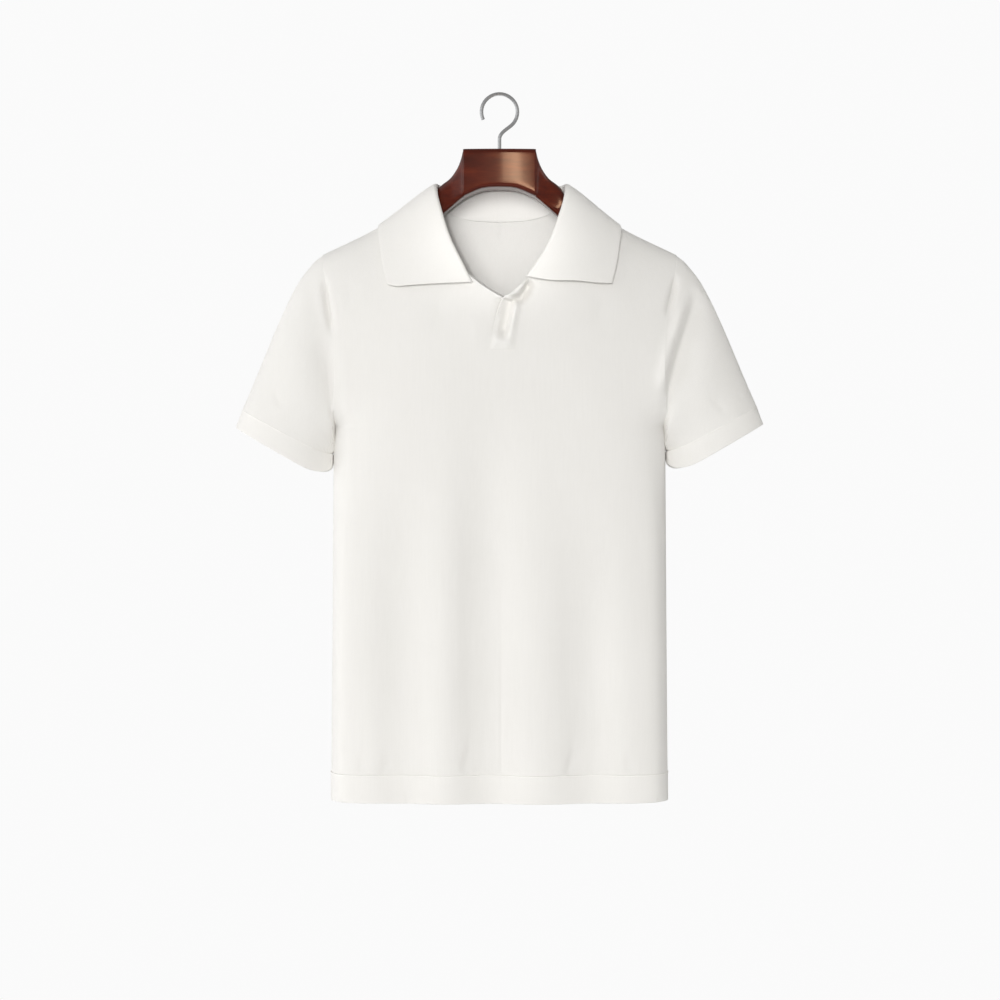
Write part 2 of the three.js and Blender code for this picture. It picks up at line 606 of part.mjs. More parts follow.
// The hanger's wood: squarish sections strung along the arms, closed at both tips.
function hangerWood(wasm) {
  const section = (row, hand) =>
    Array.from({ length: HANGER_CORNERS }, (_, k) => {
      const angle = (2 * Math.PI * k) / HANGER_CORNERS;
      const square = (v) => Math.sign(v) * Math.abs(v) ** (2 / row.square);
      const reach = Math.cos(angle) > 0 ? row.behind : row.front;
      const y = reach * square(Math.cos(angle));
      const z = mix(row.bottom, row.top, (1 + square(Math.sin(angle))) / 2);
      return vec(hand * row.out, y, z);
    });
  const rows = [...HANGER.slice(1).reverse().map((row) => section(row, -1)), ...HANGER.map((row) => section(row, 1))];
  const surface = new Surface();
  const numbers = rows.map((ring) => ring.map((p) => surface.add(p)));
  surface.weave(numbers, true);
  const triangles = surface.cells.flatMap(([a, b, c, d]) => [a, b, c, a, c, d]);
  for (const [ring, turned] of [[numbers[0], true], [numbers.at(-1), false]]) {
    const middle = ring.reduce((sum, i) => sum.add(surface.points[i]), vec(0, 0, 0)).divideScalar(ring.length);
    const tip = surface.add(middle.setX(middle.x + Math.sign(middle.x) * 3));
    ring.forEach((a, k) => {
      const b = ring[(k + 1) % ring.length];
      triangles.push(...(turned ? [b, a, tip] : [a, b, tip]));
    });
  }
  const wood = solid(wasm, surface.points.flatMap((p) => [p.x, p.y, p.z]), triangles);
  const bore = new THREE.CylinderGeometry(WIRE / 2 + BORE_PLAY, WIRE / 2 + BORE_PLAY, 2 * HOOK_SCREW, 12);
  bore.rotateX(Math.PI / 2).translate(0, 0, HANGER[0].top);
  return fromSolid(wood.subtract(solidOf(wasm, bore)));
}

function solid(wasm, positions, triangles) {
  return new wasm.Manifold(
    new wasm.Mesh({
      numProp: 3,
      vertProperties: new Float32Array(positions),
      triVerts: new Uint32Array(triangles),
    }),
  );
}
function solidOf(wasm, geometry) {
  geometry.deleteAttribute("normal");
  geometry.deleteAttribute("uv");
  const merged = mergeVertices(geometry, 1e-4);
  return solid(wasm, merged.attributes.position.array, merged.index.array);
}
function fromSolid(made) {
  const mesh = made.getMesh();
  const geometry = new THREE.BufferGeometry();
  geometry.setAttribute("position", new THREE.BufferAttribute(mesh.vertProperties, 3));
  geometry.setIndex(new THREE.BufferAttribute(mesh.triVerts, 1));
  return geometry;
}

// The wire's middle line: up out of the wood, a short swing to the right, then round the hook.
const hookRound = (degrees) => {
  const a = THREE.MathUtils.degToRad(degrees);
  return vec(HOOK_RADIUS * Math.cos(a), 0, HOOK_CENTRE + HOOK_RADIUS * Math.sin(a));
};
const HOOK_START = -50; // degrees, lower right, where the swing runs into the round part
function hookLine() {
  const foot = vec(0, 0, HANGER[0].top - HOOK_SCREW + 1);
  const bend = vec(0, 0, HOOK_CENTRE - 1.5 * HOOK_RADIUS);
  const start = hookRound(HOOK_START);
  const back = hookRound(HOOK_START + 90).sub(vec(0, 0, HOOK_CENTRE)).setLength(-6);
  const line = new THREE.CurvePath();
  line.add(new THREE.LineCurve3(foot, bend));
  line.add(new THREE.CubicBezierCurve3(bend, bend.clone().setZ(bend.z + 7), start.clone().add(back), start));
  const round = Array.from({ length: 25 }, (_, k) => hookRound(mix(HOOK_START, HOOK_END, k / 24)));
  line.add(new THREE.CatmullRomCurve3(round));
  return line;
}
function hookWire() {
  const outline = new THREE.Shape().absarc(0, 0, WIRE / 2, 0, 2 * Math.PI);
  return new THREE.ExtrudeGeometry(outline, {
    steps: 44,
    curveSegments: 4,
    bevelEnabled: false,
    extrudePath: hookLine(),
  });
}

const wasm = await Module();
wasm.setup();

// Finishes. Each piece gets a material of its own.
const CREAM = { color: 0xf1eee4, roughness: 0.9 };
const MAHOGANY = { color: 0x6b2a1a, roughness: 0.32 };
const STEEL = { color: 0xc9cccf, roughness: 0.25, metalness: 1 };

const shirt = new THREE.Group();
function place(name, geometry, finish) {
  const mesh = new THREE.Mesh(geometry, new THREE.MeshStandardMaterial(finish));
  mesh.name = name;
  shirt.add(mesh);
}

const frontColumns = { neck: NECK_COLUMNS, shoulder: SHOULDER_COLUMNS };
const backColumns = { neck: 5, shoulder: 8 };
place("front_panel", wall(bodyPanel(1, FRONT_NECK, frontColumns), KNIT), CREAM);
place("back_panel", wall(bodyPanel(-1, BACK_NECK, backColumns), KNIT), CREAM);
place("hem_front", wall(hemBand(1, frontColumns), DOUBLED), CREAM);
place("hem_back", wall(hemBand(-1, backColumns), DOUBLED), CREAM);
for (const sleeve of SLEEVES) {
  place(`sleeve_${sleeve.name}`, wall(sleeveSurface(sleeve), KNIT), CREAM);
  place(`cuff_${sleeve.name}`, wall(cuffSurface(sleeve), DOUBLED), CREAM);
}
place("collar", wall(collarSurface(), COLLAR_WALL), CREAM);
place("placket", wall(placketSurface(), KNIT), CREAM);
place("hanger_wood", hangerWood(wasm), MAHOGANY);
place("hanger_hook", hookWire(), STEEL);

const polo = new THREE.Group();
shirt.position.z = -HOOK_SEAT;
polo.add(shirt);
export default polo;
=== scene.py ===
# %% [markdown]
# A fine-knit polo shirt on a wooden hanger.
# The frame is the plain model of the shirt: right in every size, but with smooth cloth and no finish.
# This lesson dresses that frame. Every piece of cloth starts from the plain piece it stands for, gets
# finer, is draped, and then gets its wall back, so the seams stay where the pattern puts them.

# %% Load the frame
import math

import bmesh
import bpy
from mathutils import Matrix, Vector, noise
from mathutils.kdtree import KDTree


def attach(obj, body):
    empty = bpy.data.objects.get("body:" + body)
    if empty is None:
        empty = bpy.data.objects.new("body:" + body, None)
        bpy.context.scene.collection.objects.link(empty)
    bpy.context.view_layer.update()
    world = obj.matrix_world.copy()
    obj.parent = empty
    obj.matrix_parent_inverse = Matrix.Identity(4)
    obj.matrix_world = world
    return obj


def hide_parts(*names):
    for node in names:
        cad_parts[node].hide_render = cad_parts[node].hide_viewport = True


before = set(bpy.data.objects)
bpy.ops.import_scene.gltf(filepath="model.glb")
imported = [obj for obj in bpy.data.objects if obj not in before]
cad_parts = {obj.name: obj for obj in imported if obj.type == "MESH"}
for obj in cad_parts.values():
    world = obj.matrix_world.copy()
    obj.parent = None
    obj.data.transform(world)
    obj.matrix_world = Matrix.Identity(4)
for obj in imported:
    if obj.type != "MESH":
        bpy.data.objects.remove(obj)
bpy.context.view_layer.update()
print("pieces in the frame:", ", ".join(sorted(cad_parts)))

# %% [markdown]
# The shirt is seen straight from the front, with the eye level with the middle of the body.
# A long lens from under three metres keeps the sides of the shirt nearly parallel, as they are in a
# catalogue picture. The camera comes first because all later work is judged through it.

# %% Camera
EYE = (0.0006, -2.752, -0.4712)
lens = bpy.data.cameras.new("front_view")
lens.lens = 85
lens.sensor_width = 36
camera = bpy.data.objects.new("front_view", lens)
camera.location = EYE
camera.rotation_euler = (math.radians(90), 0, 0)
bpy.context.collection.objects.link(camera)
bpy.context.scene.camera = camera
print("camera at", EYE)

# %% [markdown]
# The light is a pale studio. A broad key stands almost straight in front, a little to the left. The room
# is bright at its far left and dim elsewhere, but for one narrow band at the right, which draws the
# glint along the wood's right arris. White cloth on a white ground shows its form only where it turns
# away from the key, so the dim side matters as much as the bright one.
# Three more lamps do one thing each. A warm strip is seen only in the varnish of the wood. A narrow lamp
# beside the camera looks into the neck, which the key leaves in shade. A soft sun straight from behind
# lights the back and doesn't touch the front. What the camera sees behind the shirt is an even pale
# backdrop, so that the ground stays quiet from every side.

# %% Studio light
BACKDROP = (0.96, 0.96, 0.96, 1)
# the room's brightness from its far left, 0, to its far right, 1
WALLS = [
    (0, (2.45, 2.45, 2.45)),
    (0.2, (0.5, 0.5, 0.5)),
    (0.5, (0.34, 0.34, 0.34)),
    (0.85, (0.44, 0.44, 0.435)),
    (0.92, (0.44, 0.44, 0.43)),
    (0.94, (2.2, 2.16, 2.1)),
    (0.955, (2.2, 2.16, 2.1)),
    (0.975, (0.4, 0.4, 0.39)),
]
SOFT_SUN = math.radians(24)
STRIP_PLACE, STRIP_AIM = Vector((0.32, -2.8, 0.2)), Vector((0, 0, -0.1))
NECK_PLACE, NECK_AIM = Vector((-0.18, -2.6, -0.3)), Vector((0.006, 0, -0.158))
bpy.context.scene.view_settings.view_transform = "Standard"
world = bpy.data.worlds.new("studio")
world.use_nodes = True
bpy.context.scene.world = world
room = world.node_tree
room.nodes.clear()


def join(tree, kind, links=(), **settings):
    """Adds a shader node, sets its options and sockets, and returns it. links are (socket, source)."""
    made = tree.nodes.new(kind)
    for name, value in settings.items():
        if hasattr(made, name):
            setattr(made, name, value)
        else:
            made.inputs[name.replace("_", " ")].default_value = value
    for socket, source in links:
        tree.links.new(source, made.inputs[socket])
    return made


def ramp(tree, source, stops):
    """A colour ramp through (position, colour) stops."""
    made = join(tree, "ShaderNodeValToRGB", [("Fac", source)])
    while len(made.color_ramp.elements) < len(stops):
        made.color_ramp.elements.new(0.5)
    for element, (position, colour) in zip(made.color_ramp.elements, stops):
        element.position = position
        element.color = (*colour, 1)
    return made


direction = join(room, "ShaderNodeTexCoord").outputs["Generated"]
across = join(room, "ShaderNodeSeparateXYZ", [(0, direction)]).outputs["X"]
side = join(room, "ShaderNodeMapRange", [("Value", across)], From_Min=-1, From_Max=1)
walls = ramp(room, side.outputs["Result"], WALLS)
glow = join(room, "ShaderNodeBackground", [("Color", walls.outputs["Color"])], Strength=0.76)
ground = join(room, "ShaderNodeBackground", Color=BACKDROP, Strength=1.0)
seen = join(room, "ShaderNodeLightPath").outputs["Is Camera Ray"]
both = join(room, "ShaderNodeMixShader", [(0, seen), (1, glow.outputs[0]), (2, ground.outputs[0])])
join(room, "ShaderNodeOutputWorld", [("Surface", both.outputs[0])])


def lamp(name, kind, power, turn, place=(0, 0, 0), in_gloss=False):
    """Adds a lamp with its turn as a quaternion. in_gloss says if shiny things mirror it."""
    light = bpy.data.lights.new(name, kind)
    light.energy = power
    holder = bpy.data.objects.new(name, light)
    holder.location = place
    holder.rotation_euler = turn.to_euler()
    holder.visible_glossy = in_gloss
    bpy.context.collection.objects.link(holder)
    return holder


key = lamp("key", "SUN", 1.845, Vector((-0.135, -0.96, 0.12)).to_track_quat("Z", "Y"))
key.data.angle = SOFT_SUN
key.data.color = (1.0, 0.995, 0.984)

strip_turn = (STRIP_AIM - STRIP_PLACE).to_track_quat("-Z", "Y")
strip = lamp("strip", "AREA", 52, strip_turn, STRIP_PLACE, in_gloss=True)
strip.data.shape = "RECTANGLE"
strip.data.size = 0.34
strip.data.size_y = 2.4
strip.data.color = (1.0, 0.64, 0.4)
strip.visible_camera = False
strip.visible_diffuse = False

neck_turn = (NECK_AIM - NECK_PLACE).to_track_quat("-Z", "Y")
neck_light = lamp("neck_light", "SPOT", 108, neck_turn, NECK_PLACE)
neck_light.data.spot_size = math.radians(4.6)
neck_light.data.spot_blend = 1
neck_light.data.shadow_soft_size = 0.045

rear = lamp("rear", "SUN", 1.2, Vector((0, 0.96, 0.14)).to_track_quat("Z", "Y"))
rear.data.angle = SOFT_SUN
for holder in (key, strip, neck_light, rear):
    print("lamp", holder.name, round(holder.data.energy, 3))

# %% [markdown]
# The floor is a round of pale paper, far enough below the hem that its soft shadow stays out of the
# picture. It glows a little, and more towards its rim, where it gets nearly as pale as the backdrop, so
# that its edge is lost when the shirt is seen from above.

# %% Floor
FLOOR_RADIUS, FLOOR_LEVEL = 1.3, -1.35
# the glow at the middle and near the rim, which lies this far from the room's origin
MIDDLE_GLOW, RIM_GLOW, RIM_AWAY = 0.34, 0.77, 1.85


def new_finish(name, **settings):
    """A new material with its node tree and its main shader. settings are the shader's sockets."""
    made = bpy.data.materials.new(name)
    made.use_nodes = True
    shader = made.node_tree.nodes["Principled BSDF"]
    for socket, value in settings.items():
        shader.inputs[socket.replace("_", " ")].default_value = value
    return made, made.node_tree, shader


floor_mesh = bpy.data.meshes.new("floor")
drawing = bmesh.new()
bmesh.ops.create_circle(drawing, cap_ends=True, segments=96, radius=FLOOR_RADIUS)
bmesh.ops.translate(drawing, verts=drawing.verts, vec=(0, 0, FLOOR_LEVEL))
drawing.to_mesh(floor_mesh)
drawing.free()
floor = bpy.data.objects.new("floor", floor_mesh)
bpy.context.collection.objects.link(floor)
paper, tree, shader = new_finish(
    "pale_paper",
    Base_Color=(0.35, 0.35, 0.35, 1),
    Roughness=1,
    Specular_IOR_Level=0,
    Emission_Color=(1, 1, 1, 1),
)
where = join(tree, "ShaderNodeTexCoord").outputs["Object"]
away = join(tree, "ShaderNodeVectorMath", [(0, where)], operation="LENGTH").outputs["Value"]
pale = join(
    tree,
    "ShaderNodeMapRange",
    [("Value", away)],
    From_Min=-FLOOR_LEVEL,
    From_Max=RIM_AWAY,
    To_Min=MIDDLE_GLOW,
    To_Max=RIM_GLOW,
)
tree.links.new(pale.outputs["Result"], shader.inputs["Emission Strength"])
floor_mesh.materials.append(paper)
print("floor", 2 * FLOOR_RADIUS, "m across")

# %% [markdown]
# A plain piece comes from the frame as a closed wall of loose triangles. Cloth is easier to shape as
# a single sheet, so the copy is merged and only its outside is kept. The walk starts on a face that is
# surely outside. Every point there has a twin straight behind it, one wall's thickness away, on the
# inside. The walk goes on from face to face, but never to a twin, and so it stops at the rim.

# %% From a wall to a sheet
SAME_POINT = 2e-5
# a twin lies no nearer and no farther than these shares of the wall's thickness, and this straight behind
TWIN_NEAR, TWIN_FAR, BEHIND = 0.75, 1.3, 0.3


def twins_in(wall_mesh, thickness):
    """For each point of a closed wall, the number of the point straight behind it."""
    tree = KDTree(len(wall_mesh.verts))
    for point in wall_mesh.verts:
        tree.insert(point.co, point.index)
    tree.balance()
    twins = {}
    for point in wall_mesh.verts:
        behind = [
            (abs(far - thickness), other)
            for co, other, far in tree.find_range(point.co, TWIN_FAR * thickness)
            if far > TWIN_NEAR * thickness and (co - point.co).dot(point.normal) < -BEHIND * far
        ]
        twins[point.index] = min(behind)[1] if behind else None
    return twins


def outside_of(node, look, thickness):
    """A bmesh of the outer sheet of a plain piece. look points at a part of it that is outside."""
    sheet = bmesh.new()
    sheet.from_mesh(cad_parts[node].data)
    bmesh.ops.remove_doubles(sheet, verts=sheet.verts, dist=SAME_POINT)
    sheet.normal_update()
    sheet.verts.index_update()
    twins = twins_in(sheet, thickness)
    first = max(sheet.faces, key=lambda face: face.calc_center_median().dot(look))
    kept, waiting = {first}, [first]
    inside = {twins[point.index] for point in first.verts}
    while waiting:
        face = waiting.pop(0)
        for other in (o for edge in face.edges for o in edge.link_faces if o not in kept):
            if not any(point.index in inside for point in other.verts):
                kept.add(other)
                waiting.append(other)
                inside.update(twins[point.index] for point in other.verts)
    bmesh.ops.delete(sheet, geom=[face for face in sheet.faces if face not in kept], context="FACES")
    return sheet


# %% [markdown]
# A subdivision surface rounds four-sided cells best, so the triangles are paired again. A triangle
# with only one free neighbour has to take that one. After that the pairs with the squarest corners go
# first. What stays alone at a rim is a sliver of the wall, and it is dropped.

# %% From triangles to cells
# triangles that meet more steeply than this are never one cell
STEEPEST = math.radians(80)
# a sliver of the wall stands off from all its neighbours by more than this
SLIVER = math.radians(60)
# stands for the angle at a rim's edge, which has only one face
NO_ANGLE = 9


def slant(edge):
    """How far the cell on both sides of an edge is from square, as its worst corner."""
    one, two = edge.link_faces
    tip = next(v for v in one.verts if v not in edge.verts)
    foot = next(v for v in two.verts if v not in edge.verts)
    ring = [tip.co, edge.verts[0].co, foot.co, edge.verts[1].co]
    corners = [(ring[k - 1] - ring[k]).angle(ring[(k + 1) % 4] - ring[k], 0) for k in range(4)]
    return max(abs(corner - math.pi / 2) for corner in corners)


def pair_triangles(sheet):
    """Joins the triangles of a sheet to four-sided cells."""
    sheet.faces.index_update()
    free = {face: {} for face in sheet.faces}
    for edge in sheet.edges:
        if len(edge.link_faces) == 2 and edge.calc_face_angle(NO_ANGLE) < STEEPEST:
            one, two = edge.link_faces
            free[one][two] = free[two][one] = (slant(edge), edge)
    pairs = [(facts[0], one.index, two.index, one, two) for one in free for two, facts in free[one].items()]
    inner_edges = []

    def take(one, two):
        inner_edges.append(free[one][two][1])
        near = {**free.pop(one), **free.pop(two)}
        still_free = [face for face in near if face in free]
        for face in still_free:
            free[face].pop(one, None)
            free[face].pop(two, None)
        return [face for face in still_free if len(free[face]) == 1]

    def settle_lonely(lonely):
        while lonely:
            face = lonely.pop()
            if face in free and len(free[face]) == 1:
                lonely += take(face, next(iter(free[face])))

    settle_lonely([face for face in free if len(free[face]) == 1])
    for _, _, _, one, two in sorted(pairs, key=lambda pair: pair[:3]):
        if one in free and two in free:
            settle_lonely(take(one, two))
    slivers = [f for f in free if all(e.calc_face_angle(NO_ANGLE) > SLIVER for e in f.edges)]
    bmesh.ops.delete(sheet, geom=slivers, context="FACES")
    bmesh.ops.dissolve_edges(sheet, edges=inner_edges, use_verts=False)
    return sheet


def settled(obj):
    """The object's mesh with its modifiers worked in."""
    shape = bpy.data.meshes.new_from_object(obj.evaluated_get(bpy.context.evaluated_depsgraph_get()))
    obj.modifiers.clear()
    obj.data = shape
    return shape


def new_object(name, drawing):
    """Turns a bmesh into an object of the scene."""
    mesh = bpy.data.meshes.new(name)
    drawing.to_mesh(mesh)
    drawing.free()
    obj = bpy.data.objects.new(name, mesh)
    bpy.context.collection.objects.link(obj)
    return obj


def finer(obj, levels):
    """Rounds a sheet with a subdivision surface and keeps the result."""
    rounding = obj.modifiers.new("rounding", "SUBSURF")
    rounding.levels = levels
    rounding.render_levels = levels
    rounding.boundary_smooth = "PRESERVE_CORNERS"
    return settled(obj)


FRONT, BACK = Vector((0, -1, 0)), Vector((0, 1, 0))
CLOTH = {
    "front_panel": {"look": FRONT, "levels": 3, "wall": 0.0014},
    "back_panel": {"look": BACK, "levels": 3, "wall": 0.0014},
    "hem_front": {"look": FRONT, "levels": 3, "wall": 0.0024},
    "hem_back": {"look": BACK, "levels": 3, "wall": 0.0024},
    "sleeve_right": {"look": FRONT, "levels": 3, "wall": 0.0014},
    "sleeve_left": {"look": FRONT, "levels": 3, "wall": 0.0014},
    "cuff_right": {"look": FRONT, "levels": 3, "wall": 0.0024},
    "cuff_left": {"look": FRONT, "levels": 3, "wall": 0.0024},
    "collar": {"look": FRONT, "levels": 2, "wall": 0.0016},
    "placket": {"look": FRONT, "levels": 3, "wall": 0.0014},
}
pieces = {}
for node, facts in CLOTH.items():
    sheet = pair_triangles(outside_of(node, facts["look"], facts["wall"]))
    pieces[node] = new_object(node + "_knit", sheet)
    cells = pieces[node].data.polygons
    odd = sum(len(cell.vertices) != 4 for cell in cells)
    finer(pieces[node], facts["levels"])
    print(node, "cells", len(cells), "of them not four-sided", odd, "->", len(pieces[node].data.polygons))

# %% [markdown]
# Hanging knit falls in folds. One drape serves the whole shirt: at every place of the front, and of
# the back, it says how far the cloth is pushed in or out there. A sleeve and the panel beside it ask
# the same question at their common seam and get the same answer, so no seam opens.
# A fold is a line of points with a depth. Its two flanks have widths of their own, because a real
# fold has a steep flank and a slack one, and it fades out towards both ends.

# %% The drape
HEM = -0.8189
# a fold is gone at this many of its widths
REACH = 2.6


def in_mm(point):
    """Out from the middle, towards the back and above the hem, in mm."""
    return point.x * 1000, point.y * 1000, (point.z - HEM) * 1000


def fold(line, depth, left, right, side=1, fade=(0.3, 0.3)):
    """A fold along points (out, height above the hem) in mm. A negative depth is a ridge."""
    points = [Vector((x / 1000, h / 1000 + HEM)) for x, h in line]
    reach = REACH * max(left, right) / 1000
    lengths = [(b - a).length for a, b in zip(points, points[1:])]
    return {
        "points": points,
        "lengths": lengths,
        "total": sum(lengths),
        "depth": depth / 1000,
        "left": left / 1000,
        "right": right / 1000,
        "side": side,
        "fade": fade,
        "low": Vector((min(p.x for p in points) - reach, min(p.y for p in points) - reach)),
        "high": Vector((max(p.x for p in points) + reach, max(p.y for p in points) + reach)),
    }


def eased(share):
    """A soft step from 0 to 1."""
    share = min(1, max(0, share))
    return share * share * (3 - 2 * share)


def fold_at(crease, place):
    """How deep one fold is at a place."""
    low, high = crease["low"], crease["high"]
    if not (low.x < place.x < high.x and low.y < place.y < high.y):
        return 0
    nearest, gone, best = None, 0, math.inf
    for a, length, b in zip(crease["points"], crease["lengths"], crease["points"][1:]):
        way = (b - a) / length
        on = min(length, max(0, (place - a).dot(way)))
        off = place - (a + way * on)
        if off.length < best:
            best = off.length
            nearest = (gone + on, off.dot(Vector((abs(way.y), -way.x if way.y > 0 else way.x))))
        gone += length
    share = nearest[0] / crease["total"]
    start, end = crease["fade"]
    strength = eased(share / start if start else 1) * eased((1 - share) / end if end else 1)
    width = crease["left"] if nearest[1] < 0 else crease["right"]
    return crease["depth"] * strength * math.exp(-((best / width) ** 2))


FOLDS = [
    # the front, three broad hanging folds and the small puckers at their feet
    fold([(-16, 470), (-14, 300), (-12, 150), (-12, 20)], 7.4, 27, 27, fade=(0.55, 0)),
    fold([(-112, 400), (-112, 200), (-108, 20)], 5.4, 26, 30, fade=(0.6, 0)),
    fold([(108, 340), (106, 180), (106, 20)], 6.4, 34, 30, fade=(0.6, 0)),
    fold([(170, 430), (180, 300), (182, 10)], -3.6, 17, 7, fade=(0.35, 0)),
    fold([(-170, 430), (-182, 300), (-184, 10)], -4.4, 8, 18, fade=(0.35, 0)),
    fold([(-36, 420), (-38, 250), (-37, 120), (-33, 69), (-38, 34)], 0.8, 7, 16, fade=(0.6, 0.05)),
    fold([(-34, 76), (-36, 60), (-44, 36)], 2.2, 3.2, 9, fade=(0.5, 0.2)),
    fold([(-134, 380), (-136, 200), (-132, 90), (-128, 36)], 0.6, 8, 14, fade=(0.6, 0.05)),
    fold([(-126, 56), (-130, 44), (-138, 33)], 1.9, 3.2, 8, fade=(0.5, 0.2)),
    fold([(-157, 60), (-160, 33)], 1.2, 4, 8, fade=(0.5, 0.2)),
    fold([(76, 330), (78, 180), (84, 80), (80, 34)], 0.8, 8, 16, fade=(0.6, 0.05)),
    fold([(85, 70), (82, 52), (74, 33)], 2.1, 3.2, 9, fade=(0.5, 0.2)),
    fold([(150, 62), (146, 34)], 1.1, 4, 9, fade=(0.5, 0.2)),
    # the front, below the collar and beside the armholes
    fold([(-171, 606), (-173, 556)], 1.2, 7, 9, fade=(0.4, 0.5)),
    fold([(-66, 578), (-72, 530)], 1.0, 9, 12, fade=(0.3, 0.6)),
    fold([(116, 588), (113, 530)], 1.1, 8, 12, fade=(0.3, 0.6)),
    fold([(-30, 566), (-22, 510)], -1.2, 8, 12, fade=(0.4, 0.6)),
    # the front, round the slit: the strip's channel and ridge, the rim that curls and the hollow below it
    fold([(13, 577), (8.5, 553), (3, 528)], 10.0, 10, 4.6, fade=(0.05, 0.3)),
    fold([(20.5, 577), (15, 553), (8.5, 532)], -2.2, 2.8, 4.5, fade=(0.1, 0.3)),
    fold([(11, 574), (24, 580), (30, 588), (35, 600)], 12.5, 3.4, 6.5, fade=(0.3, 0.2)),
    fold([(8, 580), (20, 584), (25, 592), (31, 603)], -3.4, 3, 2.5, fade=(0.3, 0.2)),
    # the sleeves, front
    fold([(205, 611), (199, 584), (191, 556)], 5.4, 3.4, 4.4, fade=(0.35, 0.35)),
    fold([(-203, 612), (-198, 580), (-190, 530)], 6.4, 5.4, 2.8, fade=(0.35, 0.35)),
    fold([(-196, 560), (-193, 490), (-190, 430), (-191, 388)], 8.5, 23, 10, fade=(0.55, 0)),
    fold(
        [(233, 596), (228, 586), (220, 558), (211, 530), (202, 497), (193, 462), (188, 425)],
        10,
        7.5,
        24,
        fade=(0.2, 0.5),
    ),
    fold([(222, 590), (209, 560), (199, 530), (192, 500), (186, 470)], -6.2, 8, 7.5, fade=(0.3, 0.2)),
    fold([(262, 448), (252, 456), (240, 470)], 1.3, 4, 6, fade=(0.3, 0.6)),
    fold([(282, 462), (272, 474)], 1.0, 3, 5, fade=(0.3, 0.6)),
    fold([(-250, 452), (-262, 480)], 1.2, 4, 7, fade=(0.3, 0.6)),
    # the back
    fold([(-74, 430), (-82, 220), (-90, 34)], 2.0, 16, 7, side=-1, fade=(0.6, 0.05)),
    fold([(20, 380), (24, 200), (30, 34)], 2.0, 18, 8, side=-1, fade=(0.6, 0.05)),
    fold([(104, 400), (116, 200), (122, 34)], 1.8, 16, 7, side=-1, fade=(0.6, 0.05)),
    fold([(-88, 70), (-96, 34)], 2.0, 9, 3.4, side=-1, fade=(0.5, 0.2)),
    fold([(36, 66), (30, 34)], 1.8, 9, 3.4, side=-1, fade=(0.5, 0.2)),
    fold([(206, 609), (199, 580), (192, 548)], 3.0, 3, 5, side=-1, fade=(0.35, 0.35)),
    fold([(-206, 609), (-200, 580), (-193, 546)], 3.0, 5, 3, side=-1, fade=(0.35, 0.35)),
    fold([(231, 594), (218, 545), (204, 480)], 3.6, 7, 4, side=-1, fade=(0.25, 0.2)),
    fold([(-231, 594), (-218, 545), (-204, 480)], 3.6, 4, 7, side=-1, fade=(0.25, 0.2)),
    fold([(-60, 600), (-30, 560), (0, 545)], 1.0, 8, 10, side=-1, fade=(0.4, 0.5)),
]
print("folds", len(FOLDS))

# %% [markdown]
# Between the folds no cloth is quite flat. Two calm layers of noise, stretched in the direction the
# cloth hangs, give the panels their faint unevenness. Near the side seams, where the cloth turns from
# the front to the back, the push fades out, so the outline stays as the frame has it.
# Two small changes in the plane of the picture come before the drape. The edge of the collar's leaf is
# drawn out or in at a few places. Below the armpits the sleeves and their cuffs are drawn in until they
# lie against the body, and their lowest inner corners are lifted.

# %% Draping the pieces
# how far from the side the push is whole
TURN = 0.02
# the two layers of noise: how fine across and downwards, their place in the noise, and how deep
LAYERS = ((11, 3.2, 3, 0.0009), (34, 13, 7, 0.00022))


def drape_at(point):
    """The push at a point of the shirt, as a vector towards the front or the back."""
    side = 1 if point.y < 0 else -1
    place = Vector((point.x, point.z))
    depth = sum(fold_at(crease, place) for crease in FOLDS if crease["side"] == side)
    for sideways, downwards, layer, deep in LAYERS:
        spot = Vector((point.x * sideways, side * layer, point.z * downwards))
        depth += noise.noise(spot) * deep
    hold = eased(abs(point.y) / TURN)
    return Vector((0, side * depth * hold, 0))


def bell(gap, width):
    """A soft hump, 1 where the gap is 0."""
    return math.exp(-((gap / width) ** 2))


# where the collar's leaf is drawn out or in: place, shift and reach, all in mm
TUGS = [
    ((-30, 604), (0, -6), 22),
    ((-60, 597), (0, -1.5), 22),
    ((92, 595), (0, 4), 26),
    ((118, 594), (2.5, 0.5), 9),
    ((-116, 594), (-2.5, -1.5), 9),
]
for vertex in pieces["collar"].data.vertices:
    if vertex.co.y < 0:
        for (tug_out, tug_height), (sideways, upwards), reach in TUGS:
            out, _, height = in_mm(vertex.co)
            pull = bell(math.hypot(out - tug_out, height - tug_height), reach) / 1000
            vertex.co.x += sideways * pull
            vertex.co.z += upwards * pull

# how far out from the middle each piece touches the body's side; this and all below is in mm
TOUCH = {"sleeve_right": 190, "sleeve_left": 190, "cuff_right": 197, "cuff_left": 197}
# the pull towards the body: its size, the height below which it grows, the growth's length, its width
PULL, PULL_FROM, PULL_GROWTH, PULL_WIDTH = 5.6, 428, 24, 16
# more pull for the front and the back, this far beyond the touch and off the seam at the side
MORE, MORE_FROM, MORE_GROWTH, MORE_WIDTH, MORE_OUT = 4, 450, 20, 12, 4
SEAM_HALF, SEAM_GROWTH = 5, 12
